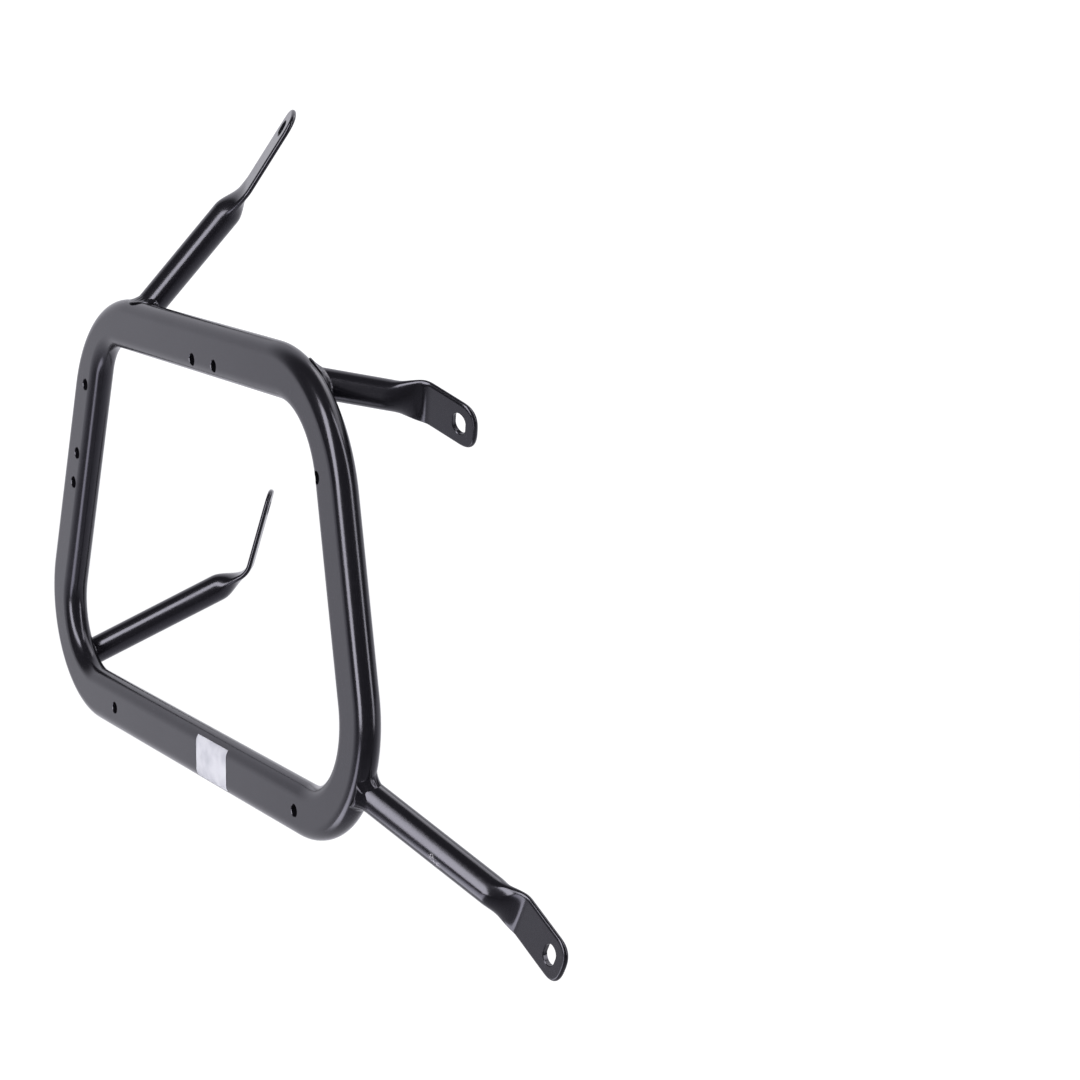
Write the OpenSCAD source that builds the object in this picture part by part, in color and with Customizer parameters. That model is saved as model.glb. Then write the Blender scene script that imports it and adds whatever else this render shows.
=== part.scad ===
// Pannier frame: a closed loop of flat-oval tube that carries the case, and four round-tube arms
// welded to it, each flattened into a slotted tab that bolts to the motorcycle.
// The loop stands in a plane across Y. X runs from rear to front, Y towards the motorcycle, Z up.
// The origin is the centre of the lower front tab's slot.

/* [Loop tube] */
// Wide side of the flat-oval section, in the plane of the loop
tube_w = 30; // [24:1:40]
// Thickness of the flat-oval section, across the loop
tube_t = 15; // [12:0.5:20]
// How much thinner the tube walls are drawn where they are bent
bend_draw = 0.1; // [0.05:0.05:0.3]

/* [Loop outline] */
// Length of the lower bar, between the corners of its centre line
lower_bar = 429.5; // [390:0.5:460]
// Length of the upper bar, between the corners of its centre line
upper_bar = 297; // [270:1:330]
// Height between the centre lines of the two bars
loop_h = 233.5; // [215:0.5:260]
// Distance that the upper rear corner stands ahead of the lower rear corner
rear_lean = 81; // [60:1:100]
// Bend radii of the outer edge at each corner
lower_rear_outer_bend = 69; // [55:1:75]
lower_front_outer_bend = 77; // [60:1:90]
upper_front_outer_bend = 87; // [60:1:95]
upper_rear_outer_bend = 84; // [55:1:90]
// Bend radii of the inner edge, smaller than concentric ones because bending draws the tube in
lower_rear_inner_bend = 35; // [24:1:40]
lower_front_inner_bend = 44; // [30:1:50]
upper_front_inner_bend = 45; // [30:1:56]
upper_rear_inner_bend = 29; // [20:1:40]

/* [Case holes] */
// Diameter of the holes that the case fittings bolt through
case_hole_d = 7; // [5:0.5:9]
// Distance of each side's holes inwards from the centre line of the tube
rear_hole_inset = 4; // [2:0.5:6]
upper_hole_inset = 7; // [4:0.5:8]
front_hole_inset = 8.5; // [4:0.5:9]
// Distance of the first lower hole from the lower rear corner
lower_hole_x = 107; // [90:1:130]
// Distance between the two lower holes
lower_hole_gap = 245; // [200:1:260]
// Distance of the first upper hole from the lower rear corner
upper_hole_x = 226.5; // [190:0.5:240]
// Distance between the two upper holes
upper_hole_gap = 28.5; // [18:0.5:40]
// Heights of the three holes in the rear side
rear_hole_high = 191.5; // [182:0.5:197]
rear_hole_mid = 147.5; // [140:0.5:156]
rear_hole_low = 128.5; // [112:0.5:134]
// Height of the hole in the front side
front_hole_z = 185; // [120:1:190]

/* [Arms] */
// Diameter of the round tube
arm_d = 16.5; // [13:0.5:20]
// Width of the flattened end
tab_w = 26.5; // [20:0.5:28]
// Thickness of the flattened end
tab_t = 3; // [2.6:0.1:4.5]
// Rounding along the edges of the flattened end
tab_edge = 1.2; // [0.5:0.1:1.2]
// Length over which the round tube is pressed flat
press_len = 9; // [8:1:24]
// Depth of the cope in each arm's end, below the inner face of the loop
cope_depth = 3; // [1:0.5:5]
// Bend radius of the flattened end, at the middle of its thickness
tab_bend = 8; // [5:0.5:12]
// The same where the end hardly turns, as on the upper rear arm
slight_bend = 40; // [20:1:60]
// Width of the slot in each tab
slot_w = 9; // [6:0.5:10]
// Length of the slot, across the tab
slot_len = 12.5; // [10:0.5:15]

/* [Upper rear arm] */
// Distance of the foot ahead of the upper rear corner
upper_rear_foot_ahead = 47; // [36:1:60]
// Turn of the flattened end about the tube
upper_rear_twist = -10; // [-15:1:15]
// Bend of the flattened end: x from the lower rear corner, rise from the upper bar's centre line
upper_rear_bend_x = 179; // [160:1:190]
upper_rear_bend_y = 58; // [45:1:65]
upper_rear_bend_rise = 83; // [72:0.5:92]
// Centre of the slot, from the same places
upper_rear_slot_x = 197; // [190:0.5:203]
upper_rear_slot_y = 72; // [62:0.5:78]
upper_rear_slot_rise = 115.5; // [106:0.5:124]

/* [Upper front arm] */
// Distance of the foot behind the upper front corner, and below the upper bar's centre line
upper_front_foot_behind = 32.5; // [26:0.5:40]
upper_front_foot_drop = 2.5; // [0:0.5:6]
// Bend of the flattened end: x from the lower rear corner, drop from the upper bar's centre line
upper_front_bend_x = 389; // [380:1:392]
upper_front_bend_y = 60; // [50:1:65]
upper_front_bend_drop = 12; // [5:0.5:18]
// Centre of the slot, from the same places
upper_front_slot_x = 410.5; // [404:0.5:420]
upper_front_slot_y = 68; // [60:0.5:72]
upper_front_slot_drop = 20.5; // [14:0.5:28]

/* [Lower rear arm] */
// Foot in the lower rear corner
lower_rear_foot_x = 21; // [18:1:28]
lower_rear_foot_z = 8.5; // [4:0.5:14]
// Turn of the flattened end about the tube
lower_rear_twist = 8; // [-15:1:15]
// Bend of the flattened end, from the lower rear corner
lower_rear_bend_x = 70.5; // [62:0.5:80]
lower_rear_bend_y = 106.5; // [96:0.5:116]
lower_rear_bend_z = 66; // [60:0.5:74]
// Centre of the slot, from the lower rear corner
lower_rear_slot_x = 69; // [60:0.5:78]
lower_rear_slot_y = 120.5; // [110:0.5:128]
lower_rear_slot_z = 105.5; // [100:0.5:116]

/* [Lower front arm] */
// Place of the foot, inwards from the line of the front side, and its height
lower_front_foot_inset = 11; // [7:0.5:15]
lower_front_foot_z = 28; // [20:1:34]
// Bend of the flattened end, from the lower rear corner
lower_front_bend_x = 500; // [488:0.5:508]
lower_front_bend_y = 55; // [48:0.5:60]
lower_front_bend_z = -23.5; // [-30:0.5:-18]
// Centre of the slot, from the lower rear corner
lower_front_slot_x = 524; // [515:0.5:532]
lower_front_slot_y = 58; // [52:0.5:62]
lower_front_slot_z = -37.5; // [-45:0.5:-32]

/* [Hidden] */
$fn = 96;
// Facets of the pressed stretch, which is a smooth shell
press_fn = 32;
// Depth of the thin end faces that the pressed stretch is drawn between
skin = 0.01;
// Overrun of every cut
cut = 1;
// Length by which a straight bar laps over the start of a bend
lap = 0.5;
// How much thinner the tube is drawn at its flat faces than at the crests of its rounded edges
flat_draw = 0.04;
// Radii of the middles of the rounded edges, from the lower rear corner round by the lower front one
outer_round = [
  for (r = [lower_rear_outer_bend, lower_front_outer_bend, upper_front_outer_bend, upper_rear_outer_bend])
    r - tube_t / 2
];
inner_round = [
  for (r = [lower_rear_inner_bend, lower_front_inner_bend, upper_front_inner_bend, upper_rear_inner_bend])
    r + tube_t / 2
];
paint = [0.07, 0.07, 0.08];

// Lower rear corner of the centre line, seen from the slot at the origin
home = [-lower_front_slot_x, -lower_front_slot_y, -lower_front_slot_z];

// Corners of the centre line, in the plane of the loop, and their bend radii
corners = [
  [0, 0],
  [lower_bar, 0],
  [rear_lean + upper_bar, loop_h],
  [rear_lean, loop_h]
];

function unit(v) = v / norm(v);
function after(i) = (i + 1) % 4;
function before(i) = (i + 3) % 4;
// Direction of the bar that leaves corner i
function bar_way(i) = unit(corners[after(i)] - corners[i]);
// Angle that the tube turns through at corner i
function turn_at(i) = acos(bar_way(before(i)) * bar_way(i));
// Direction square to that bar, out of the loop
function bar_out(i) = [bar_way(i).y, -bar_way(i).x];
// Corner i of the line that runs outside the centre line by the distance out
function corner_at(i, out) =
  corners[i] + out / cos(turn_at(i) / 2) * unit(bar_out(before(i)) + bar_out(i));
// Position of the centre line of the sloping sides at height z
function rear_side_x(z) = rear_lean * z / loop_h;
function front_side_x(z) = lower_bar + (rear_lean + upper_bar - lower_bar) * z / loop_h;

// Rounded edge that runs round the loop, at the distance out from the centre line
module round_edge(out, radii) {
  for (i = [0 : 3]) {
    way = bar_way(i);
    way_in = bar_way(before(i));
    from = corner_at(i, out);
    reach_in = radii[i] * tan(turn_at(i) / 2);
    reach_out = radii[after(i)] * tan(turn_at(after(i)) / 2);
    start = from + way * (reach_in - lap);
    run = norm(corner_at(after(i), out) - from) - reach_in - reach_out + 2 * lap;
    translate([start.x, start.y, 0])
      rotate([90, 0, atan2(way.y, way.x) + 90])
        cylinder(d = tube_t, h = run);
    centre = from + way * reach_in + radii[i] * [-way.y, way.x];
    translate([centre.x, centre.y, 0])
      rotate([0, 0, atan2(-way_in.x, way_in.y)])
        rotate_extrude(angle = turn_at(i))
          translate([radii[i], 0])
            circle(d = tube_t - bend_draw);
  }
}

// Area inside a line that runs round the loop
module rounded_area(out, radii) {
  difference() {
    polygon([for (i = [0 : 3]) corner_at(i, out)]);
    for (i = [0 : 3])
      corner_waste(i, out, radii[i]);
  }
}

// What the bend cuts off the sharp corner i
module corner_waste(i, out, radius) {
  corner = corner_at(i, out);
  reach = radius * tan(turn_at(i) / 2);
  centre = corner + reach * bar_way(i) + radius * [-bar_way(i).y, bar_way(i).x];
  difference() {
    polygon([
      corner - reach * bar_way(before(i)),
      corner + (reach + cut) * (corner - centre) / norm(corner - centre),
      corner + reach * bar_way(i)
    ]);
    translate(centre)
      circle(radius);
  }
}

// The loop before it is drilled, with its outer face at Y 0
module loop_body() {
  half_flat = (tube_w - tube_t) / 2;
  flat_t = tube_t - flat_draw;
  translate([0, tube_t / 2, 0])
    rotate([90, 0, 0]) {
      round_edge(half_flat, outer_round);
      round_edge(-half_flat, inner_round);
      translate([0, 0, -flat_t / 2])
        linear_extrude(flat_t)
          difference() {
            rounded_area(half_flat, outer_round);
            rounded_area(-half_flat, inner_round);
          }
    }
}

// A hole across the loop tube at a place in the plane of the loop
module case_hole(x, z) {
  translate([x, -cut, z])
    rotate([-90, 0, 0])
      cylinder(d = case_hole_d, h = tube_t + 2 * cut);
}

module case_holes() {
  for (step = [0, lower_hole_gap])
    case_hole(lower_hole_x + step, 0);
  for (step = [0, upper_hole_gap])
    case_hole(upper_hole_x + step, loop_h - upper_hole_inset);
  for (z = [rear_hole_low, rear_hole_mid, rear_hole_high])
    case_hole(rear_side_x(z) + rear_hole_inset, z);
  case_hole(front_side_x(front_hole_z) - front_hole_inset, front_hole_z);
}

// Section of the flattened end: X is its thickness and Y its width
module tab_section(thinned = 0) {
  square([tab_t - thinned - 2 * tab_edge, tab_w - thinned], center = true);
  square([tab_t - thinned, tab_w - thinned - 2 * tab_edge], center = true);
  for (side_x = [-1, 1], side_y = [-1, 1])
    translate([side_x * ((tab_t - thinned) / 2 - tab_edge), side_y * ((tab_w - thinned) / 2 - tab_edge)])
      circle(r = tab_edge);
}

// Half of that section, for the round tip
module tip_section() {
  intersection() {
    rotate(90)
      tab_section();
    translate([0, -tab_t])
      square([tab_w, 2 * tab_t]);
  }
}

// Round tip of a tab with its slot, around the slot's centre
module tab_tip(reach) {
  difference() {
    union() {
      rotate([0, 90, 0])
        rotate_extrude()
          tip_section();
      translate([0, 0, -reach - lap])
        linear_extrude(reach + lap)
          tab_section();
    }
    for (side = [-1, 1])
      translate([0, side * (slot_len - slot_w) / 2, 0])
        rotate([0, 90, 0])
          cylinder(d = slot_w, h = tab_t + 2 * cut, center = true);
    cube([tab_t + 2 * cut, slot_len - slot_w, slot_w], center = true);
  }
}

// An arm from its foot on the loop to the slot of its tab, by way of the bend between them
module arm(foot, bend, slot, twist = 0, bend_r = tab_bend) {
  way = unit(bend - foot);
  tab_way = unit(slot - bend);
  tilt = acos(way.z);
  turn = atan2(way.y, way.x);
  roll = atan2(
    cos(turn) * tab_way.y - sin(turn) * tab_way.x,
    cos(tilt) * (cos(turn) * tab_way.x + sin(turn) * tab_way.y) - sin(tilt) * tab_way.z
  );
  fold = acos(way * tab_way);
  trim = bend_r * tan(fold / 2);
  flat_from = norm(bend - foot) - trim;
  difference() {
    translate(foot)
      rotate([0, tilt, turn])
        rotate([0, 0, roll + twist]) {
          translate([0, 0, -arm_d])
            cylinder(d = arm_d, h = flat_from - press_len + arm_d + lap);
          hull() {
            translate([0, 0, flat_from - press_len])
              cylinder(d = arm_d, h = skin, $fn = press_fn);
            translate([0, 0, flat_from])
              linear_extrude(lap)
                tab_section($fn = press_fn);
          }
          translate([bend_r, 0, flat_from]) {
            rotate([90, 0, 180])
              rotate_extrude(angle = fold)
                translate([bend_r, 0])
                  tab_section(bend_draw);
            rotate([0, fold, 0])
              translate([-bend_r, 0, norm(slot - bend) - trim])
                tab_tip(norm(slot - bend) - trim);
          }
        }
    loop_body();
    translate([foot.x - 2 * arm_d, tube_t - cope_depth - 3 * arm_d, foot.z - 2 * arm_d])
      cube([4 * arm_d, 3 * arm_d, 4 * arm_d]);
  }
}

module loop_tube() {
  color(paint)
    translate(home)
      difference() {
        loop_body();
        case_holes();
      }
}

module upper_rear_arm() {
  color(paint)
    translate(home)
      arm(
        [rear_lean + upper_rear_foot_ahead, tube_t / 2, loop_h],
        [upper_rear_bend_x, upper_rear_bend_y, loop_h + upper_rear_bend_rise],
        [upper_rear_slot_x, upper_rear_slot_y, loop_h + upper_rear_slot_rise],
        upper_rear_twist,
        slight_bend
      );
}

module upper_front_arm() {
  color(paint)
    translate(home)
      arm(
        [rear_lean + upper_bar - upper_front_foot_behind, tube_t / 2, loop_h - upper_front_foot_drop],
        [upper_front_bend_x, upper_front_bend_y, loop_h - upper_front_bend_drop],
        [upper_front_slot_x, upper_front_slot_y, loop_h - upper_front_slot_drop]
      );
}

module lower_rear_arm() {
  color(paint)
    translate(home)
      arm(
        [lower_rear_foot_x, tube_t / 2, lower_rear_foot_z],
        [lower_rear_bend_x, lower_rear_bend_y, lower_rear_bend_z],
        [lower_rear_slot_x, lower_rear_slot_y, lower_rear_slot_z],
        lower_rear_twist
      );
}

module lower_front_arm() {
  color(paint)
    translate(home)
      arm(
        [front_side_x(lower_front_foot_z) - lower_front_foot_inset, tube_t / 2, lower_front_foot_z],
        [lower_front_bend_x, lower_front_bend_y, lower_front_bend_z],
        [lower_front_slot_x, lower_front_slot_y, lower_front_slot_z]
      );
}

loop_tube();
upper_rear_arm();
upper_front_arm();
lower_rear_arm();
lower_front_arm();
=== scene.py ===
"""Looks of a welded pannier frame: gloss black tube, weld beads, a blank sticker and the studio."""

import logging
import math
from collections.abc import Mapping, Sequence
from dataclasses import dataclass, field
from enum import Enum

import bmesh
import bpy
import numpy as np
from mathutils import Matrix, Vector
from mathutils.bvhtree import BVHTree


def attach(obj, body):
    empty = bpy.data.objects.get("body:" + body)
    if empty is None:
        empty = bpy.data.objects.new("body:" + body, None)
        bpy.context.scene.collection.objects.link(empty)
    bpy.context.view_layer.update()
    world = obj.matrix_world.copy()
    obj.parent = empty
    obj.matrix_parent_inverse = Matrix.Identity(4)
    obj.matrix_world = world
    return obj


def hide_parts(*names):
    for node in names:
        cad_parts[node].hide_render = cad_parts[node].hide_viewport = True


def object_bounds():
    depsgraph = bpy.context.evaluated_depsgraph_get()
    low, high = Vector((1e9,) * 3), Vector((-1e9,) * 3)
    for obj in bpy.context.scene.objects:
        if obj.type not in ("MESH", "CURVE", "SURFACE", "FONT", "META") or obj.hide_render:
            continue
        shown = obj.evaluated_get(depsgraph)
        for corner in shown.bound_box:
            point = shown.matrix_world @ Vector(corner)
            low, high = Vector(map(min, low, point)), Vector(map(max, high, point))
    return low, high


LOG = logging.getLogger("pannier_frame")
MM = 0.001
GRID_MERGE = 0.001 * MM
CUT_MERGE = 0.03 * MM
CUT_SHARP = math.radians(38.0)
WELD_SHARP = math.radians(42.0)
FACE_GAP = 0.01
WHITE = (1.0, 1.0, 1.0)

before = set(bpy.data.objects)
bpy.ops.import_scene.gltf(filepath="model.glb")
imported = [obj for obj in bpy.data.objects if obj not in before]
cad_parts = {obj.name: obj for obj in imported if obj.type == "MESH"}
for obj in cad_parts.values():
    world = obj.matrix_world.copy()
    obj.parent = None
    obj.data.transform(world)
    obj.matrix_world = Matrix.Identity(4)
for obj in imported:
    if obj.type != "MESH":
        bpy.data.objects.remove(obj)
CAD_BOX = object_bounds()


class Slot(Enum):
    """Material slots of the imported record."""

    LOOP = "loop_paint"
    ARM = "arm_paint"
    STICKER = "sticker"


@dataclass(frozen=True)
class Datum:
    """Where the lower rear corner of the loop's centre line lies in the row frame, in mm.

    The row frame's origin is the slot of the lower front arm.
    """

    x: float = -524.0
    y: float = -58.0
    z: float = 37.5

    def place(self, points: np.ndarray) -> np.ndarray:
        """Moves points given in mm from the lower rear corner into the row frame, in metres.

        Args:
            points: Array whose last axis is x, y, z.

        Returns:
            The same points in metres, seen from the origin slot.
        """
        return (np.asarray(points, float) + [self.x, self.y, self.z]) * MM


DATUM = Datum()


class Wire:
    """A shader socket that Python's operators work on; each operator adds one Math node."""

    def __init__(self, tree: bpy.types.NodeTree, socket: bpy.types.NodeSocket) -> None:
        """Keeps the node tree and the output socket."""
        self.tree = tree
        self.socket = socket

    def _math(self, operation: str, *values: "Wire | float") -> "Wire":
        """Adds one Math node on the given values.

        Args:
            operation: The node's operation name.
            *values: Its inputs in order.

        Returns:
            The node's result.
        """
        node = make_node(self.tree, "Math", {"operation": operation}, dict(enumerate(values)))
        return Wire(self.tree, node.outputs[0])

    def __add__(self, other: "Wire | float") -> "Wire":
        """Sum."""
        return self._math("ADD", self, other)

    __radd__ = __add__

    def __sub__(self, other: "Wire | float") -> "Wire":
        """Difference."""
        return self._math("SUBTRACT", self, other)

    def __rsub__(self, other: float) -> "Wire":
        """Difference from a number."""
        return self._math("SUBTRACT", other, self)

    def __mul__(self, other: "Wire | float") -> "Wire":
        """Product."""
        return self._math("MULTIPLY", self, other)

    __rmul__ = __mul__

    def larger(self, other: "Wire | float") -> "Wire":
        """The larger of two values."""
        return self._math("MAXIMUM", self, other)

    def ramp(self, low: float, high: float) -> "Wire":
        """Rises smoothly from 0 at low to 1 at high.

        Args:
            low: Value that gives 0.
            high: Value that gives 1, which may be the smaller one.

        Returns:
            The ramp's result.
        """
        settings = {"interpolation_type": "SMOOTHSTEP"}
        inputs = {"Value": self, "From Min": low, "From Max": high}
        return Wire(self.tree, make_node(self.tree, "MapRange", settings, inputs).outputs["Result"])


def feed(tree: bpy.types.NodeTree, target: bpy.types.NodeSocket, value: object) -> None:
    """Links a wire to a socket, or sets the socket's own value.

    Args:
        tree: The node tree.
        target: The input socket.
        value: A Wire, a number or a sequence of numbers.
    """
    if isinstance(value, Wire):
        tree.links.new(value.socket, target)
    elif isinstance(value, (int, float)):
        target.default_value = value
    else:
        given = tuple(value)
        target.default_value = given if len(given) == len(target.default_value) else (*given, 1.0)


def make_node(
    tree: bpy.types.NodeTree,
    kind: str,
    settings: Mapping[str, object] | None = None,
    inputs: Mapping[str | int, object] | None = None,
) -> bpy.types.Node:
    """Makes any node.

    Args:
        tree: The node tree.
        kind: The node's type without the ShaderNode prefix.
        settings: Properties of the node, set before its sockets.
        inputs: Values or wires by socket name or number.

    Returns:
        The node.
    """
    node = tree.nodes.new(f"ShaderNode{kind}")
    for name, value in (settings or {}).items():
        setattr(node, name, value)
    for name, value in (inputs or {}).items():
        feed(tree, node.inputs[name], value)
    return node


class Bench:
    """Node tree of one material or world, with the nodes that this frame's finishes are made of."""

    def __init__(self, tree: bpy.types.NodeTree) -> None:
        """Clears the tree."""
        self.tree = tree
        tree.nodes.clear()

    def add(
        self,
        kind: str,
        settings: Mapping[str, object] | None = None,
        inputs: Mapping[str | int, object] | None = None,
        output: str | int = 0,
    ) -> Wire:
        """Adds a node.

        Args:
            kind: The node's type without the ShaderNode prefix.
            settings: Properties of the node, set before its sockets.
            inputs: Values or wires by socket name or number.
            output: Name or number of the output that is wanted.

        Returns:
            That output.
        """
        return Wire(self.tree, make_node(self.tree, kind, settings, inputs).outputs[output])

    def end(self, kind: str, surface: Wire) -> None:
        """Links the surface to a new output node of the material or the world.

        Args:
            kind: The output node's type without the ShaderNode prefix.
            surface: The shader.
        """
        make_node(self.tree, kind, inputs={"Surface": surface})

    def place(self) -> Wire:
        """Object coordinates, in metres."""
        return self.add("TexCoord", output="Object")

    def vector(self, operation: str, first: object, second: object, output: str = "Vector") -> Wire:
        """Adds one Vector Math node.

        Args:
            operation: The node's operation name.
            first: Its first input, a wire or three numbers.
            second: Its second input, a wire or three numbers.
            output: Vector, or Value where the operation gives a number.

        Returns:
            That output.
        """
        return self.add("VectorMath", {"operation": operation}, {0: first, 1: second}, output)

    def noise(self, scale: float, detail: float = 2.0, rough: float = 0.5) -> Wire:
        """Adds noise over Object coordinates.

        Args:
            scale: Cycles a metre.
            detail: How many finer layers it has.
            rough: How strong they are.

        Returns:
            The noise, about 0.5 on average.
        """
        return self.add(
            "TexNoise",
            inputs={"Vector": self.place(), "Scale": scale, "Detail": detail, "Roughness": rough},
        )

    def blend(self, share: Wire | float, first: object, second: object) -> Wire:
        """Mixes two colours.

        Args:
            share: How much of the second colour shows, from 0 to 1.
            first: The first colour.
            second: The second colour.

        Returns:
            The mixed colour.
        """
        return self.add("Mix", {"data_type": "RGBA"}, {0: share, 6: first, 7: second}, 2)

    def near(self, centre: Sequence[float], radius: float) -> Wire:
        """Marks the surroundings of a point.

        Args:
            centre: Point of the row frame, in metres.
            radius: How far the mark reaches, in metres.

        Returns:
            1 at the point, falling smoothly to 0 at the radius.
        """
        return self.vector("DISTANCE", self.place(), centre, "Value").ramp(radius, 0.0)

    def finish(self, **sockets: object) -> None:
        """Ends a material with one Principled shader.

        Args:
            **sockets: Its sockets, spaces in their names written as underscores.
        """
        values = {name.replace("_", " "): value for name, value in sockets.items()}
        shader = self.add("BsdfPrincipled", inputs=values)
        self.end("OutputMaterial", shader)


@dataclass(frozen=True)
class GlossPaint:
    """Gloss black powder coat on steel, its sizes in metres and its noises in cycles a metre."""

    name: str
    colour: tuple[float, float, float] = (0.0050, 0.0047, 0.0062)
    dust: tuple[float, float, float] = (0.030, 0.029, 0.034)
    sheen: tuple[float, float, float] = (0.88, 0.86, 1.0)
    gloss: float = 0.17
    cloud_scale: float = 24.0
    grit_scale: float = 900.0
    chip_scale: float = 1400.0
    peel_size: float = 0.0035
    peel_depth: float = 0.00003
    peel_strength: float = 0.12
    dents: float = 0.0
    dent_size: float = 0.007
    scuffs: tuple[tuple[float, float, float], ...] = ()
    scuff_radius: float = 0.0024
    scuff_colour: tuple[float, float, float] = (0.42, 0.41, 0.44)

    def make(self) -> bpy.types.Material:
        """Builds the material.

        Fine noise gives the orange peel as bump, a broad noise varies the gloss and lays a trace of
        dust, and each scuff is a patch of bright flecks round one point.

        Returns:
            The material.
        """
        material = bpy.data.materials.new(self.name)
        material.use_nodes = True
        bench = Bench(material.node_tree)
        cloud = bench.noise(self.cloud_scale, 3.0)
        grit = bench.noise(self.grit_scale, 2.0, 0.6).ramp(0.62, 0.74)
        colour = bench.blend(grit * cloud.ramp(0.45, 0.75) * 0.35, self.colour, self.dust)
        rough = self.gloss + cloud.ramp(0.35, 0.70) * 0.05 + grit * 0.06
        for point in self.scuffs:
            chips = bench.noise(self.chip_scale, 3.0, 0.7).ramp(0.50, 0.60)
            flecks = bench.near(point, self.scuff_radius) * chips
            colour = bench.blend(flecks, colour, self.scuff_colour)
            rough = rough + flecks * 0.35
        dents = bench.noise(1.0 / self.dent_size, 1.0) * self.dents
        height = bench.noise(1.0 / self.peel_size) + dents
        peel = bench.add(
            "Bump",
            inputs={"Strength": self.peel_strength, "Distance": self.peel_depth, "Height": height},
        )
        bench.finish(
            Base_Color=colour, Roughness=rough, IOR=1.5, Specular_Tint=self.sheen, Normal=peel
        )
        return material


@dataclass(frozen=True)
class StickerFilm:
    """Pale satin film with nothing on it, a little toned."""

    name: str = "sticker_film"
    colour: tuple[float, float, float] = (0.46, 0.46, 0.50)
    toned: tuple[float, float, float] = (0.34, 0.34, 0.385)
    cloud_scale: float = 70.0
    grain_scale: float = 2500.0
    grain_depth: float = 0.00002

    def make(self) -> bpy.types.Material:
        """Builds the material: a broad cloud tones the film, fine noise gives it a paper grain.

        Returns:
            The material.
        """
        material = bpy.data.materials.new(self.name)
        material.use_nodes = True
        bench = Bench(material.node_tree)
        cloud = bench.noise(self.cloud_scale, 3.0).ramp(0.35, 0.65)
        height = bench.noise(self.grain_scale)
        grain = bench.add(
            "Bump", inputs={"Strength": 0.1, "Distance": self.grain_depth, "Height": height}
        )
        bench.finish(
            Base_Color=bench.blend(cloud, self.colour, self.toned),
            Roughness=0.42 + cloud * 0.08,
            Normal=grain,
        )
        return material


def clean_mesh(mesh: bpy.types.Mesh, apart: float) -> None:
    """Merges points nearer than a distance, drops faces without area and turns the faces outwards.

    Args:
        mesh: A closed mesh.
        apart: That distance in metres.
    """
    work = bmesh.new()
    work.from_mesh(mesh)
    bmesh.ops.remove_doubles(work, verts=work.verts, dist=apart)
    bmesh.ops.dissolve_degenerate(work, edges=work.edges, dist=apart)
    bmesh.ops.recalc_face_normals(work, faces=work.faces)
    work.to_mesh(mesh)
    work.free()


def grid_piece(
    name: str,
    grid: np.ndarray,
    closed: tuple[bool, bool] = (False, False),
    capped: tuple[bool, bool] = (False, False),
) -> bpy.types.Object:
    """Makes a mesh object of a grid of points.

    Face (i, j) joins points (i, j), (i + 1, j), (i + 1, j + 1) and (i, j + 1), and the last row or
    column joins the first where that way is closed. On a closed surface, points that meet are
    merged and faces are turned outwards.

    Args:
        name: The object's name.
        grid: Points of shape (rows, columns, 3), in metres.
        closed: Whether the rows and the columns close on themselves.
        capped: Whether one face closes the first row, and one the last.

    Returns:
        The object, linked to the scene.
    """
    rows, columns = grid.shape[:2]
    number = np.arange(rows * columns).reshape(rows, columns)
    i = np.arange(rows if closed[0] else rows - 1)[:, None]
    j = np.arange(columns if closed[1] else columns - 1)[None, :]
    up, along = (i + 1) % rows, (j + 1) % columns
    faces = np.stack([number[i, j], number[up, j], number[up, along], number[i, along]], -1)
    ends = zip((number[0], number[-1][::-1]), capped)
    caps = [row.tolist() for row, wanted in ends if wanted]
    mesh = bpy.data.meshes.new(name)
    mesh.from_pydata(grid.reshape(-1, 3).tolist(), [], faces.reshape(-1, 4).tolist() + caps)
    if any(capped) or all(closed):
        clean_mesh(mesh, GRID_MERGE)
    mesh.polygons.foreach_set("use_smooth", np.ones(len(mesh.polygons), bool))
    mesh.update()
    piece = bpy.data.objects.new(name, mesh)
    bpy.context.scene.collection.objects.link(piece)
    return piece


def unit(vectors: np.ndarray) -> np.ndarray:
    """Vectors of length 1 along the last axis."""
    return vectors / np.linalg.norm(vectors, axis=-1, keepdims=True)


def cut_through(piece: bpy.types.Object, cutters: Sequence[np.ndarray]) -> None:
    """Cuts closed surfaces out of a closed piece and marks its sharp edges.

    Args:
        piece: The piece, which keeps its name.
        cutters: Rows of closed sections in mm from the lower rear corner, ends to be capped.
    """
    tools = [
        grid_piece("cutter", DATUM.place(rows), (False, True), (True, True)) for rows in cutters
    ]
    for tool in tools:
        cut = piece.modifiers.new("cut", "BOOLEAN")
        cut.operation = "DIFFERENCE"
        cut.solver = "EXACT"
        cut.object = tool
    seen = piece.evaluated_get(bpy.context.evaluated_depsgraph_get())
    mesh = bpy.data.meshes.new_from_object(seen)
    piece.modifiers.clear()
    piece.data = mesh
    for tool in tools:
        bpy.data.objects.remove(tool)
    clean_mesh(mesh, CUT_MERGE)
    mesh.polygons.foreach_set("use_smooth", np.ones(len(mesh.polygons), bool))
    mesh.set_sharp_from_angle(angle=CUT_SHARP)


def smooth_round(values: np.ndarray, waves: int) -> np.ndarray:
    """Keeps the slowest waves of values that run round a closed ring.

    Args:
        values: The values, the ring along their first axis.
        waves: How many waves stay, the mean among them.

    Returns:
        The smoothed values.
    """
    spectrum = np.fft.rfft(values, axis=0)
    spectrum[waves:] = 0.0
    return np.fft.irfft(spectrum, len(values), axis=0)


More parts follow.
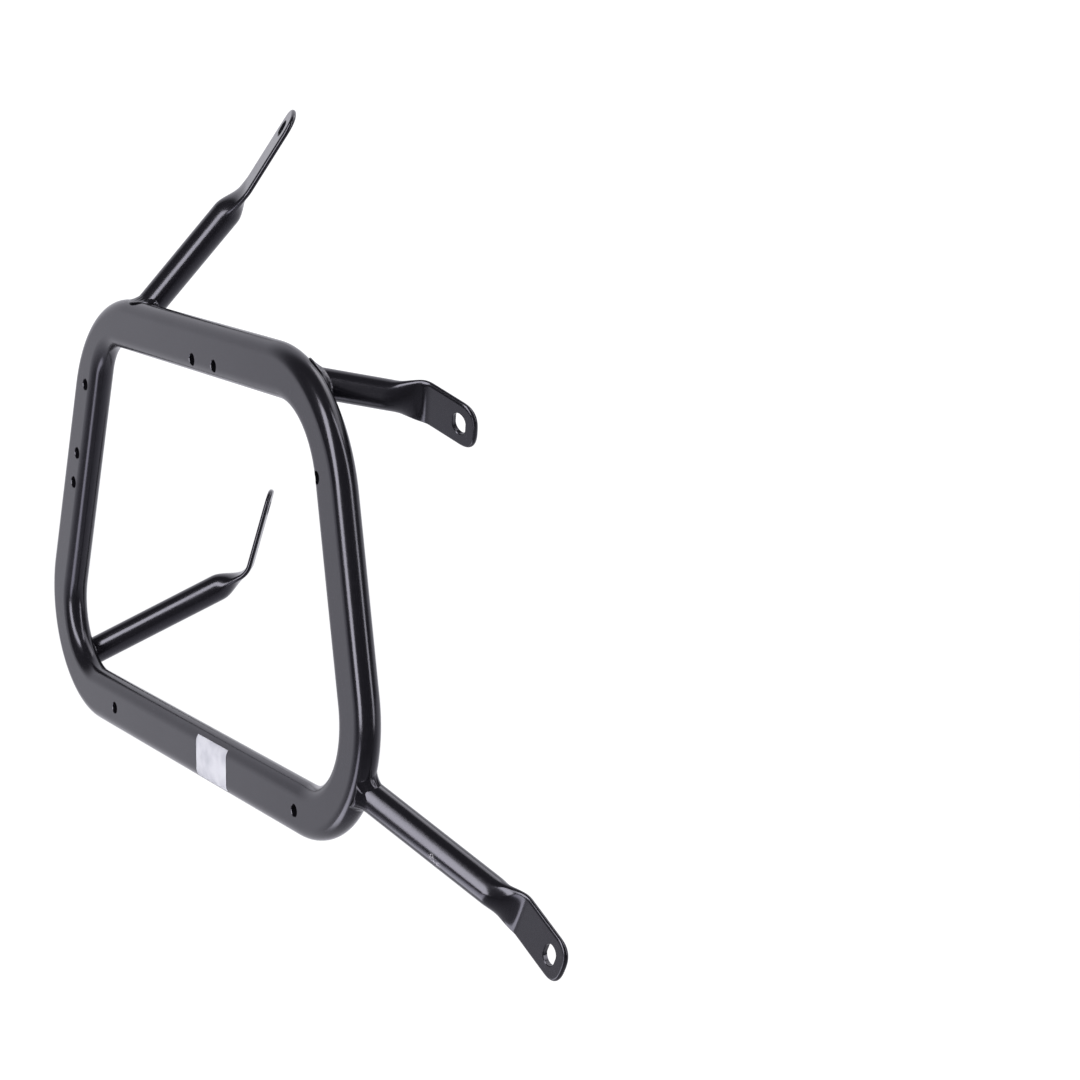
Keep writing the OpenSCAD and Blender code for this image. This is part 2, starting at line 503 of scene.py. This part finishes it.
def flat_oval(
    half_thick: float, half_wide: float, facets: int, end_points: int = 49
) -> np.ndarray:
    """Flat oval, as points evenly spaced by arc length from the middle of one flat.

    Two straight lines of the oval's width less its thickness are joined by two half circles.

    Args:
        half_thick: Half its thickness, which is also the radius of its round ends.
        half_wide: Half its width.
        facets: How many points.
        end_points: How many points measure the arc length of each half circle.

    Returns:
        Array of shape (facets, 2), thickness first.
    """
    half = half_wide - half_thick
    turn = np.linspace(0.0, math.pi, end_points)
    end = np.stack([np.cos(turn), np.sin(turn)], -1) * half_thick
    start = np.array([[half_thick, 0.0]])
    line = np.concatenate([start, end + [0.0, half], -end - [0.0, half], start])
    steps = np.linalg.norm(np.diff(line, axis=0), axis=1)
    along = np.concatenate([[0.0], np.cumsum(steps)])
    places = np.linspace(0.0, along[-1], facets, endpoint=False)
    return np.stack([np.interp(places, along, column) for column in line.T], -1)


def drill_profile(
    start: float, end: float, rim: float, past: float
) -> tuple[np.ndarray, np.ndarray]:
    """Profile of a drill that bevels the rims of its hole on both faces of a piece.

    Between the faces it has its own size, and from each face outwards it is wider by the rim, so
    the bevel runs at 45 degrees.

    Args:
        start: Depth of the first face, in mm.
        end: Depth of the second face.
        rim: Height and width of the bevel.
        past: How far the drill reaches past both faces.

    Returns:
        Six depths, and how much the drill has grown at each of them.
    """
    depth = [start - past, start - FACE_GAP, start + rim, end - rim, end + FACE_GAP, end + past]
    return np.array(depth), np.array([1.0, 1.0, 0.0, 0.0, 1.0, 1.0]) * rim


@dataclass(frozen=True)
class Press:
    """How the end of a tube is pressed flat and slotted, in mm.

    The press ends at a share of the bend. The tip is squared by a power and reaches ahead of the
    slot by a share of half the tab's width.
    """

    tube_radius: float = 8.25
    half_thick: float = 1.5
    half_wide: float = 13.25
    length: float = 21.0
    into_bend: float = 0.45
    slot_half_wide: float = 6.25
    slot_half_high: float = 4.5
    slot_rim: float = 0.35
    slot_past: float = 2.5
    slot_facets: int = 64
    tip_power: float = 0.74
    tip_reach: float = 0.88
    tip_rows: int = 28


@dataclass
class Arm:
    """One round-tube arm, from its foot on the loop over a bend to a pressed and slotted tab.

    Foot, bend and slot are points in mm from the lower rear corner, the twist is in degrees, and
    the phase shifts the ripples of its weld.
    """

    name: str
    foot: tuple[float, float, float]
    bend: tuple[float, float, float]
    slot: tuple[float, float, float]
    twist: float = 0.0
    bend_radius: float = 12.0
    phase: float = 0.0
    press: Press = field(default_factory=Press)
    facets: int = 144
    step: float = 1.2
    cast_from: float = 45.0
    cast_reach: float = 70.0
    cope_y: float = 4.0
    seam_waves: int = 14
    foot_rows: int = 14
    foot_sunk: float = 1.5
    foot_past: float = 2.0

    def axes(self) -> np.ndarray:
        """Finds the arm's own directions.

        Returns:
            Three rows: the way that the tab folds, the tab's width, and the tube's own way.
        """
        way = unit(np.subtract(self.bend, self.foot))
        onward = unit(np.subtract(self.slot, self.bend))
        fold = unit(onward - onward.dot(way) * way)
        side = np.cross(way, fold)
        turn = math.radians(self.twist)
        folds = fold * math.cos(turn) + side * math.sin(turn)
        return np.stack([folds, side * math.cos(turn) - fold * math.sin(turn), way])

    def fold_angle(self) -> float:
        """Angle by which the tab is folded out of the tube's way."""
        onward = unit(np.subtract(self.slot, self.bend))
        return math.acos(float(self.axes()[2].dot(onward)))

    def lengths(self) -> tuple[float, float]:
        """Distances in mm from the foot to the bend and from the bend to the slot."""
        return math.dist(self.foot, self.bend), math.dist(self.bend, self.slot)

    def angles(self) -> np.ndarray:
        """Angles round the tube, as a column, the same for skin and weld."""
        return np.linspace(0.0, 2.0 * math.pi, self.facets, endpoint=False)[:, None]

    def outward(self) -> np.ndarray:
        """Outward direction of the tube's wall at every angle."""
        fold, side, _ = self.axes()
        return np.cos(self.angles()) * fold + np.sin(self.angles()) * side

    def seam_height(self, loop: BVHTree) -> np.ndarray:
        """Finds how far from the foot the tube's wall meets the loop, at every angle.

        A line runs down the wall from well above the loop. Where it passes beside the loop, the
        height is carried on from the angles next to it. The wall never goes deeper than the cope,
        and slow waves alone are kept.

        Args:
            loop: Search tree of the loop's mesh, in metres.

        Returns:
            Heights in mm.
        """
        way = self.axes()[2]
        wall = np.asarray(self.foot) + self.outward() * self.press.tube_radius
        starts = DATUM.place(wall + way * self.cast_from)
        down, reach = Vector(-way), self.cast_reach * MM
        hits = [loop.ray_cast(Vector(start), down, reach)[3] for start in starts]
        depth = np.array([np.nan if hit is None else hit / MM for hit in hits])
        known = np.flatnonzero(~np.isnan(depth))
        depth = np.interp(np.arange(self.facets), known, depth[known], period=self.facets)
        cope = (self.cope_y - wall[:, 1]) / way[1]
        return smooth_round(np.maximum(self.cast_from - depth, cope), self.seam_waves)

    def skin(self, loop: BVHTree) -> np.ndarray:
        """Lays the arm's surface as rows of closed sections.

        At path length s, the section is the circle mixed with the flat oval by a smooth step from
        0 to 1 over the pressed length. It follows a straight line, then an arc of the bend's
        radius, then a straight line to the slot. The tip is the half section turned about the
        tab's own normal by up to a quarter turn on either side, on a superellipse: cosine and sine
        of the turn are raised to one power below 1, which squares its corners.

        Args:
            loop: Search tree of the loop's mesh.

        Returns:
            Points in mm from the lower rear corner.
        """
        press = self.press
        fold = self.fold_angle()
        to_bend, to_slot = self.lengths()
        radius = self.bend_radius
        trim = radius * math.tan(fold / 2.0)
        arc_from = to_bend - trim
        arc = radius * fold
        end = arc_from + arc + to_slot - trim
        angles = self.angles()
        circle = np.concatenate([np.cos(angles), np.sin(angles)], -1) * press.tube_radius
        flat = flat_oval(press.half_thick, press.half_wide, self.facets)

        height = self.seam_height(loop)
        first = float(height.max()) + self.foot_past
        rise = np.linspace(0.0, 1.0, self.foot_rows)[:, None]
        sunk = (height - self.foot_sunk)[None, :]
        foot_z = np.concatenate([sunk, height * (1.0 - rise) + first * rise])
        foot_rows = np.concatenate(
            [np.broadcast_to(circle, (*foot_z.shape, 2)), foot_z[..., None]], -1
        )

        s = np.linspace(first, end, int((end - first) / self.step))[1:, None]
        pressed = (s - (arc_from + press.into_bend * arc - press.length)) / press.length
        pressed = np.clip(pressed, 0.0, 1.0)
        share = (pressed * pressed * (3.0 - 2.0 * pressed))[..., None]
        section = circle * (1.0 - share) + flat * share
        turned = np.clip((s - arc_from) / radius, 0.0, fold)
        sine, cosine = np.sin(turned), np.cos(turned)
        run = np.maximum(s - arc_from - arc, 0.0)
        x = radius * (1.0 - cosine) + run * sine + section[..., 0] * cosine
        z = np.minimum(s, arc_from) + radius * sine + run * cosine
        z = z - section[..., 0] * sine
        path_rows = np.stack([x, section[..., 1], z], -1)

        turn = np.linspace(0.0, math.pi / 2.0, press.tip_rows)[1:, None]
        centre = path_rows[-1].mean(axis=0)
        normal = np.array([math.cos(fold), 0.0, -math.sin(fold)])
        ahead = np.array([math.sin(fold), 0.0, math.cos(fold)])
        side = np.array([0.0, 1.0, 0.0])
        wide = flat[None, :, 1]
        aside = wide * np.cos(turn) ** press.tip_power
        reach = np.abs(wide) * press.tip_reach * np.sin(turn) ** press.tip_power
        tip_rows = (
            centre
            + flat[None, :, :1] * normal
            + aside[..., None] * side
            + reach[..., None] * ahead
        )
        rows = np.concatenate([foot_rows, path_rows, tip_rows])
        return np.asarray(self.foot) + rows @ self.axes()

    def slot_cutter(self) -> np.ndarray:
        """Lays the surface of the slot as flat ovals through the tab.

        Their depths and growth are those of a drill with bevels, in the tab's own directions.

        Returns:
            Points in mm from the lower rear corner, the ends open.
        """
        press = self.press
        axes = self.axes()
        fold = self.fold_angle()
        normal = np.array([math.cos(fold), 0.0, -math.sin(fold)]) @ axes
        ahead = np.array([math.sin(fold), 0.0, math.cos(fold)]) @ axes
        centre = np.asarray(self.bend) + ahead * self.lengths()[1]
        thick = press.half_thick
        depth, grown = drill_profile(-thick, thick, press.slot_rim, press.slot_past)
        high, wide = press.slot_half_high, press.slot_half_wide
        ovals = np.stack([flat_oval(high + more, wide + more, press.slot_facets) for more in grown])
        return (
            centre
            + depth[:, None, None] * normal
            + ovals[..., :1] * ahead
            + ovals[..., 1:] * axes[1]
        )

    def build(self, loop: BVHTree) -> bpy.types.Object:
        """Builds the arm in place of its CAD node, with the slot cut through its tab.

        Args:
            loop: Search tree of the loop's mesh.

        Returns:
            The arm's object.
        """
        rows = DATUM.place(self.skin(loop))
        piece = grid_piece(f"{self.name}_skin", rows, (False, True), (True, False))
        cut_through(piece, [self.slot_cutter()])
        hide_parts(self.name)
        return piece


@dataclass(frozen=True)
class Weld:
    """Fillet weld round the foot of an arm, its legs in mm."""

    leg: float = 4.0
    fullness: float = 0.31
    slow_waves: tuple[tuple[float, float], ...] = ((3.0, 0.10), (5.0, 0.06))
    ripple: float = 0.24
    ripples: int = 23
    trough: float = 0.6
    lean: float = 0.9
    rounds: int = 9
    face_waves: int = 10
    rim_past: float = 1.05
    rim_sunk: float = 0.7
    root_sunk: float = 0.9
    flush_y: float = 0.4

    def build(self, arm: Arm, loop: BVHTree) -> bpy.types.Object:
        """Builds the weld.

        At every angle the fillet runs from the tube's wall to the loop's face: a quadratic Bezier
        curve from one leg's end to the other's, whose middle point lies out of the corner by the
        fullness. Two slow sines of the angle vary the legs, and the absolute sine of a multiple of
        the angle, which leans along the fillet, lifts it in ripples. Both rims and the root lie
        under the surfaces, and nothing stands past the loop's outer face.

        Args:
            arm: The arm.
            loop: Search tree of the loop's mesh.

        Returns:
            The weld's object.
        """
        way = arm.axes()[2]
        outward = arm.outward()
        height = arm.seam_height(loop)[:, None]
        seam = np.asarray(arm.foot) + outward * arm.press.tube_radius + way * height
        face = np.array([loop.find_nearest(Vector(point))[1] for point in DATUM.place(seam)])
        face = unit(smooth_round(face, self.face_waves))
        away = unit(outward - (outward * face).sum(-1, keepdims=True) * face)
        angles = arm.angles()
        (slow, slow_share), (fast, fast_share) = self.slow_waves
        vary = slow_share * np.sin(slow * angles + arm.phase) + fast_share * np.sin(fast * angles)
        leg = self.leg * (1.0 + vary)
        u = np.linspace(0.0, 1.0, self.rounds)[:, None, None]
        middle = (way + away) * self.fullness
        curve = (1.0 - u) ** 2 * way + 2.0 * u * (1.0 - u) * middle + u**2 * away
        swing = angles * self.ripples / 2.0 + arm.phase + self.lean * (u - 0.5)
        lift = self.ripple * (np.abs(np.sin(swing)) - self.trough) * np.sin(math.pi * u)
        rows = seam + leg * curve + lift * unit(way + away)
        wall_rim = seam + leg * way * self.rim_past - outward * self.rim_sunk
        root = seam - (outward + face) * self.root_sunk
        face_rim = seam + leg * away * self.rim_past - face * self.rim_sunk
        grid = np.concatenate([wall_rim[None], rows, face_rim[None], root[None]])
        grid[..., 1] = np.maximum(grid[..., 1], self.flush_y)
        piece = grid_piece(f"{arm.name}_weld", DATUM.place(grid), (True, True))
        piece.data.set_sharp_from_angle(angle=WELD_SHARP)
        return piece


@dataclass
class Sticker:
    """Blank film on the outer face of the lower bar, folded over both rounded edges.

    Sizes are in mm from the lower rear corner.
    """

    start: float = 226.2
    length: float = 40.0
    reach: float = 12.3
    tube_radius: float = 7.5
    flat_half: float = 7.5
    lift: float = 0.07
    thickness: float = 0.05
    rows: int = 60
    columns: int = 60

    def build(self) -> bpy.types.Object:
        """Builds the film.

        Across the bar, arc length s runs over the section: flat up to flat_half, then round with
        the tube's radius, so z grows with the sine and y with one minus the cosine of the angle
        past it.

        Returns:
            The film's object.
        """
        along = np.linspace(self.start, self.start + self.length, self.columns)[None, :]
        s = np.linspace(-self.reach, self.reach, self.rows)[:, None]
        past = np.maximum(np.abs(s) - self.flat_half, 0.0) / self.tube_radius
        radius = self.tube_radius + self.lift
        z = np.sign(s) * (np.minimum(np.abs(s), self.flat_half) + radius * np.sin(past))
        y = self.tube_radius - radius * np.cos(past)
        grid = np.stack(np.broadcast_arrays(along, y, z), -1)
        piece = grid_piece("blank_sticker", DATUM.place(grid))
        thick = piece.modifiers.new("film", "SOLIDIFY")
        thick.thickness = self.thickness * MM
        thick.offset = -1.0
        return piece


@dataclass(frozen=True)
class Corner:
    """One corner of the loop: place on the centre line and radii of both outlines, in mm."""

    x: float
    z: float
    outer: float
    inner: float


@dataclass
class Loop:
    """The flat-oval loop with its case holes, its paint and its sticker.

    Places are in mm from the lower rear corner, those of corners and holes as x and z. Holes are
    listed along the lower, the upper, the rear and the front side.
    """

    corners: tuple[Corner, ...] = (
        Corner(0.0, 0.0, 69.0, 35.0),
        Corner(429.5, 0.0, 77.0, 44.0),
        Corner(378.0, 233.5, 87.0, 45.0),
        Corner(81.0, 233.5, 84.0, 29.0),
    )
    half_wide: float = 15.0
    tube_radius: float = 7.5
    holes: tuple[tuple[float, float], ...] = (
        (107.0, 0.0),
        (352.0, 0.0),
        (226.5, 226.5),
        (255.0, 226.5),
        (48.576, 128.5),
        (55.167, 147.5),
        (70.430, 191.5),
        (380.197, 185.0),
    )
    hole_radius: float = 3.5
    hole_rim: float = 0.3
    hole_past: float = 2.0
    hole_facets: int = 48
    bend_rows: int = 36
    bar_rows: int = 14
    edge_rows: int = 25
    edge_inset: float = 0.25
    sticker: Sticker = field(default_factory=Sticker)
    paint: GlossPaint = field(default_factory=lambda: GlossPaint("loop_gloss_black"))
    film: StickerFilm = field(default_factory=StickerFilm)

    def outline(self, out: float, radii: Sequence[float]) -> tuple[np.ndarray, np.ndarray]:
        """Traces a rounded outline and its outward normals.

        Every corner is an arc of its radius, tangent to both bars, whose normal turns evenly, and
        bars are straight lines with rows gathered at their ends by a cosine.

        Args:
            out: How far outside the centre line the outline runs.
            radii: Radius at each corner.

        Returns:
            Points and normals, x and z, in step with every other outline of this loop.
        """
        knots = np.array([[c.x, c.z] for c in self.corners])
        ways = unit(np.roll(knots, -1, axis=0) - knots)
        outs = np.stack([ways[:, 1], -ways[:, 0]], -1)
        arcs, turns = [], []
        for i, radius in enumerate(radii):
            before, after = outs[i - 1], outs[i]
            bisector = unit(before + after)
            spread = math.acos(float(before.dot(after)))
            centre = knots[i] + bisector * (out - radius) / math.cos(spread / 2.0)
            start = math.atan2(before[1], before[0])
            angle = start + np.linspace(0.0, spread, self.bend_rows)
            normal = np.stack([np.cos(angle), np.sin(angle)], -1)
            arcs.append(centre + radius * normal)
            turns.append(normal)
        share = 0.5 - 0.5 * np.cos(np.linspace(0.0, math.pi, self.bar_rows))
        share = share[1:-1, None]
        points, normals = [], []
        for i, (arc, normal) in enumerate(zip(arcs, turns)):
            onward = arcs[(i + 1) % len(arcs)][0]
            points += [arc, arc[-1] + (onward - arc[-1]) * share]
            normals += [normal, np.repeat(normal[-1:], len(share), axis=0)]
        return np.concatenate(points), np.concatenate(normals)

    def edge(self, outline: np.ndarray, outward: np.ndarray) -> np.ndarray:
        """Lays the round edge of the tube along one outline.

        A section is a half circle of the tube's radius that touches the outline from inside: it
        stands out by the cosine and rises by one plus the sine of an angle from -90 to 90 degrees.
        Both its ends carry one narrow flat row.

        Args:
            outline: Points of the outline, x and z.
            outward: Directions out of the tube at these points.

        Returns:
            Array of shape (points, rows, 3).
        """
        turn = np.linspace(-math.pi / 2.0, math.pi / 2.0, self.edge_rows)[None, :, None]
        stand = (np.cos(turn) - 1.0) * self.tube_radius * outward[:, None, :]
        flat = outline[:, None, :] + stand
        rise = np.broadcast_to(self.tube_radius * (1.0 + np.sin(turn)), (*flat.shape[:2], 1))
        half = np.concatenate([flat[..., :1], rise, flat[..., 1:]], -1)
        inward = -self.edge_inset * np.insert(outward, 1, 0.0, axis=1)[:, None, :]
        return np.concatenate([half[:, :1] + inward, half, half[:, -1:] + inward], 1)

    def skin(self) -> np.ndarray:
        """Lays the loop's surface as rows of closed sections: two round edges joined by two flats.

        Returns:
            Points in mm from the lower rear corner.
        """
        outer, normal = self.outline(self.half_wide, [corner.outer for corner in self.corners])
        inner, _ = self.outline(-self.half_wide, [corner.inner for corner in self.corners])
        return np.concatenate([self.edge(outer, normal), self.edge(inner, -normal)[:, ::-1]], 1)

    def hole_cutter(self, x: float, z: float) -> np.ndarray:
        """Lays the surface of one case hole as circles through the tube.

        Args:
            x: Place of the hole along the loop.
            z: Its height.

        Returns:
            Points in mm from the lower rear corner, the ends open.
        """
        depth, grown = drill_profile(0.0, 2.0 * self.tube_radius, self.hole_rim, self.hole_past)
        radius = (self.hole_radius + grown)[:, None]
        turn = np.linspace(0.0, 2.0 * math.pi, self.hole_facets, endpoint=False)[None, :]
        ring = x + radius * np.cos(turn), depth[:, None], z + radius * np.sin(turn)
        return np.stack(np.broadcast_arrays(*ring), -1)

    def dress(self) -> list[bpy.types.Object]:
        """Builds the loop in place of its CAD node, drilled, painted and with the film on it.

        Returns:
            The new pieces.
        """
        paint = self.paint.make()
        paint_node("loop_tube", paint)
        piece = grid_piece("loop_skin", DATUM.place(self.skin()), (True, True))
        cut_through(piece, [self.hole_cutter(x, z) for x, z in self.holes])
        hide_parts("loop_tube")
        paint_piece(piece, paint)
        film = self.sticker.build()
        paint_piece(film, self.film.make())
        return [piece, film]

    def search_tree(self) -> BVHTree:
        """Makes the search tree that the arms and welds are fitted by.

        Returns:
            The tree of the loop's CAD mesh, in metres.
        """
        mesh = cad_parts["loop_tube"].data
        points = [vertex.co for vertex in mesh.vertices]
        return BVHTree.FromPolygons(points, [tuple(face.vertices) for face in mesh.polygons])


@dataclass
class Arms:
    """The four round-tube arms and their welds."""

    arms: tuple[Arm, ...] = (
        Arm(
            name="upper_rear_arm",
            foot=(128.0, 7.5, 233.5),
            bend=(179.0, 58.0, 316.5),
            slot=(197.0, 72.0, 349.0),
            twist=-10.0,
            bend_radius=40.0,
            phase=0.4,
        ),
        Arm(
            name="upper_front_arm",
            foot=(345.5, 7.5, 231.0),
            bend=(389.0, 60.0, 221.5),
            slot=(410.5, 68.0, 213.0),
            phase=1.3,
        ),
        Arm(
            name="lower_rear_arm",
            foot=(21.0, 7.5, 8.5),
            bend=(70.5, 106.5, 66.0),
            slot=(69.0, 120.5, 105.5),
            twist=8.0,
            phase=2.1,
        ),
        Arm(
            name="lower_front_arm",
            foot=(412.3, 7.5, 28.0),
            bend=(500.0, 55.0, -23.5),
            slot=(524.0, 58.0, -37.5),
            phase=0.9,
        ),
    )
    weld: Weld = field(default_factory=Weld)
    scuffs: tuple[tuple[float, float, float], ...] = (
        (-0.06357, -0.03376, 0.03855),
        (-0.06225, -0.03273, 0.03611),
        (-0.06029, -0.03149, 0.03435),
    )

    def dress(self, loop: BVHTree) -> list[bpy.types.Object]:
        """Builds and paints the arms and their welds.

        Args:
            loop: Search tree of the loop's mesh.

        Returns:
            The new pieces.
        """
        paint = GlossPaint("arm_gloss_black", dents=5.0, scuffs=self.scuffs).make()
        bead = GlossPaint(
            "weld_gloss_black", gloss=0.20, peel_size=0.0022, peel_depth=0.00008, peel_strength=0.35
        ).make()
        pieces = []
        for arm in self.arms:
            paint_node(arm.name, paint)
            for piece, finish in ((arm.build(loop), paint), (self.weld.build(arm, loop), bead)):
                paint_piece(piece, finish)
                pieces.append(piece)
        return pieces


def paint_node(name: str, material: bpy.types.Material) -> None:
    """Gives a CAD node its material.

    Args:
        name: The node's name.
        material: Its material.
    """
    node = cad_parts[name]
    node.data.materials.clear()
    node.data.materials.append(material)
    LOG.info("painted %s with %s", name, material.name)


def paint_piece(piece: bpy.types.Object, material: bpy.types.Material) -> None:
    """Gives a new piece its material and lets it ride on the frame.

    Args:
        piece: The piece.
        material: Its material.
    """
    piece.data.materials.append(material)
    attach(piece, "root")


def direction(bearing: float, elevation: float) -> Vector:
    """Direction of length 1 in the row frame.

    Args:
        bearing: Degrees from x towards y.
        elevation: Degrees above the level.

    Returns:
        The direction.
    """
    turn, rise = math.radians(bearing), math.radians(elevation)
    level = math.cos(rise)
    return Vector((level * math.cos(turn), level * math.sin(turn), math.sin(rise)))


@dataclass(frozen=True)
class Viewpoint:
    """The photograph's camera, in metres and degrees of the row frame."""

    place: tuple[float, float, float] = (1.22588, -0.73732, 0.50213)
    bearing: float = -30.7089
    elevation: float = 11.5298
    roll: float = 0.6025
    focal_pixels: float = 3019.0
    picture_pixels: float = 1080.0
    sensor: float = 36.0
    sight: float = 200.0

    def back(self) -> Vector:
        """Direction from the frame to the camera."""
        return direction(self.bearing, self.elevation)

    def build(self) -> None:
        """Makes the camera, which looks along the opposite of back(), rolled about that line."""
        data = bpy.data.cameras.new("photo_camera")
        data.sensor_width = self.sensor
        data.lens = self.focal_pixels / self.picture_pixels * self.sensor
        data.clip_end = self.sight
        camera = bpy.data.objects.new("photo_camera", data)
        bpy.context.scene.collection.objects.link(camera)
        back = self.back()
        right = Vector((0.0, 0.0, 1.0)).cross(back).normalized()
        right.rotate(Matrix.Rotation(math.radians(self.roll), 3, back))
        up = back.cross(right)
        turn = Matrix((right, up, back)).transposed()
        camera.matrix_world = Matrix.Translation(self.place) @ turn.to_4x4()
        bpy.context.scene.camera = camera


@dataclass(frozen=True)
class Softbox:
    """A rectangular lamp, its place and size in degrees as seen from the frame's middle."""

    name: str
    bearing: float
    elevation: float
    width: float
    height: float
    radiance: float
    distance: float = 1.7

    def side(self, angle: float) -> float:
        """Length in metres that is seen under an angle in degrees at the lamp's distance."""
        return 2.0 * self.distance * math.tan(math.radians(angle / 2.0))

    def build(self, centre: Vector) -> None:
        """Makes the lamp, facing the centre; its power is pi times its area times its radiance.

        Args:
            centre: The point that it faces.
        """
        away = direction(self.bearing, self.elevation)
        data = bpy.data.lights.new(self.name, "AREA")
        data.shape = "RECTANGLE"
        data.size = self.side(self.width)
        data.size_y = self.side(self.height)
        data.energy = math.pi * data.size * data.size_y * self.radiance
        lamp = bpy.data.objects.new(self.name, data)
        bpy.context.scene.collection.objects.link(lamp)
        lamp.location = centre + away * self.distance
        lamp.visible_camera = False
        lamp.rotation_mode = "QUATERNION"
        lamp.rotation_quaternion = (-away).to_track_quat("-Z", "Y")


@dataclass
class Studio:
    """Pale floor, white surround behind the frame and darker air on the camera's side."""

    lamps: tuple[Softbox, ...] = (
        Softbox("side_strip", -70.0, 16.0, 22.0, 84.0, 10.0),
        Softbox("front_strip", 31.0, 22.0, 12.0, 84.0, 6.6),
        Softbox("top_panel", 88.0, 50.0, 56.0, 22.0, 2.4),
    )
    floor_drop: float = 0.35
    floor_half: float = 60.0
    tone: tuple[float, float, float] = (0.93, 0.925, 1.0)
    shaded: float = 0.10
    paper: tuple[float, float, float] = (0.85, 0.85, 0.86)
    floor_share: float = 0.70
    floor_near: float = 1.22
    floor_far: float = 1.50
    floor_fade: tuple[float, float] = (1.0, 5.0)
    dusk: tuple[float, float] = (0.9, -0.5)
    world_dusk: tuple[float, float] = (0.15, 0.55)
    # Painted light: a patch of the floor that glows in reflections only, standing in for a lamp.
    light_patch_bearing: float = -60.0
    light_patch_start: tuple[float, float] = (-0.38, -0.27)
    light_patch_length: float = 1.0
    light_patch_half: float = 0.16
    light_patch_soft: float = 0.1
    light_patch_glow: float = 5.0

    def seen(self, bench: Bench) -> Wire:
        """Tells which rays see the floor's glow.

        Args:
            bench: The floor's node tree.

        Returns:
            1 for rays of the camera, of reflections and through clear things, else 0.
        """
        camera = bench.add("LightPath", output="Is Camera Ray")
        glossy = bench.add("LightPath", output="Is Glossy Ray")
        clear = bench.add("LightPath", output="Is Transmission Ray")
        return camera.larger(glossy).larger(clear)

    def light_patch(self, bench: Bench, spot: Wire) -> Wire:
        """Marks the painted light patch on the floor, which glows in reflections alone in place of
        a lamp, soft at all its edges.

        Args:
            bench: The floor's node tree.
            spot: Place on the floor, with height 0.

        Returns:
            1 on the patch and 0 off it.
        """
        bearing = math.radians(self.light_patch_bearing)
        onward = (math.cos(bearing), math.sin(bearing), 0.0)
        across = (-onward[1], onward[0], 0.0)
        offset = bench.vector("SUBTRACT", spot, (*self.light_patch_start, 0.0))
        length = bench.vector("DOT_PRODUCT", offset, onward, "Value")
        aside = bench.vector("DOT_PRODUCT", offset, across, "Value")
        soft, half = self.light_patch_soft, self.light_patch_half
        starts = length.ramp(-soft, soft)
        ends = length.ramp(self.light_patch_length + 2.0 * soft, self.light_patch_length - 2.0 * soft)
        return starts * ends * (aside * aside).ramp(half**2, (0.5 * half) ** 2)

    def floor_material(self, centre: Vector, back: Vector) -> bpy.types.Material:
        """Makes the pale floor: white to the camera, with the frame's shadow in it.

        In reflections it is white behind the frame and dark on the camera's side, but for a patch
        beside
        the frame that glows brightly: painted light that stands in for a lamp and puts highlights
        on the tubes.

        Args:
            centre: Middle of the frame's box.
            back: Direction from the frame to the camera.

        Returns:
            The material.
        """
        material = bpy.data.materials.new("pale_floor")
        material.use_nodes = True
        bench = Bench(material.node_tree)
        spot = bench.vector("MULTIPLY", bench.place(), (1.0, 1.0, 0.0))
        level = Vector((back.x, back.y, 0.0)).normalized()
        ahead = bench.vector("DOT_PRODUCT", spot, level, "Value") - centre.dot(level)
        mirrored = ahead.ramp(*self.dusk) * (1.0 - self.shaded) + self.shaded
        # Painted light: the floor patch glows in reflections only, in place of a lamp.
        mirrored = mirrored.larger(self.light_patch(bench, spot) * self.light_patch_glow)
        middle = bench.vector("DISTANCE", spot, (centre.x, centre.y, 0.0), "Value")
        fade = middle.ramp(*self.floor_fade)
        white = fade * (self.floor_far - self.floor_near) + self.floor_near
        camera = bench.add("LightPath", output="Is Camera Ray")
        matt = bench.add("BsdfDiffuse", inputs={"Color": self.paper})
        plain = bench.add("Emission", inputs={"Color": bench.vector("MULTIPLY", WHITE, white)})
        toned_light = bench.vector("MULTIPLY", self.tone, mirrored)
        toned = bench.add("Emission", inputs={"Color": toned_light})
        glow = bench.add("MixShader", inputs={0: camera, 1: toned, 2: plain})
        share = self.seen(bench) * (self.floor_share + (1.0 - camera) * (1.0 - self.floor_share))
        bench.end("OutputMaterial", bench.add("MixShader", inputs={0: share, 1: matt, 2: glow}))
        return material

    def build_world(self, back: Vector) -> None:
        """Makes the world: white to the camera, else white behind the frame and dim elsewhere.

        Args:
            back: Direction from the frame to the camera.
        """
        world = bpy.data.worlds.new("studio")
        world.use_nodes = True
        bpy.context.scene.world = world
        bench = Bench(world.node_tree)
        way = bench.add("TexCoord", output="Generated")
        behind = bench.vector("DOT_PRODUCT", way, -back, "Value").ramp(*self.world_dusk)
        camera = bench.add("LightPath", output="Is Camera Ray")
        level = camera.larger(behind * (1.0 - self.shaded) + self.shaded)
        colour = bench.vector("MULTIPLY", bench.blend(camera, self.tone, WHITE), level)
        surround = bench.add("Background", inputs={"Color": colour})
        bench.end("OutputWorld", surround)

    def build(self, view: Viewpoint) -> None:
        """Makes floor, world and lamps round the frame's box.

        Args:
            view: The photograph's camera.
        """
        low, high = CAD_BOX
        centre = (low + high) / 2.0
        span = np.array([-self.floor_half, self.floor_half])
        x, y = np.meshgrid(span, span, indexing="ij")
        z = np.full_like(x, low.z - self.floor_drop)
        floor = grid_piece("floor", np.stack([x, y, z], -1))
        floor.data.materials.append(self.floor_material(centre, view.back()))
        self.build_world(view.back())
        for lamp in self.lamps:
            lamp.build(centre)


def main() -> None:
    """Builds camera, studio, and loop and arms."""
    logging.basicConfig(level=logging.INFO, format="%(name)s: %(message)s")
    bpy.context.scene.view_settings.view_transform = "Standard"
    view = Viewpoint()
    view.build()
    Studio().build(view)
    loop = Loop()
    pieces = loop.dress()
    pieces += Arms().dress(loop.search_tree())
    for piece in pieces:
        LOG.info("built %s, %d faces", piece.name, len(piece.data.polygons))


if __name__ == "__main__":
    main()
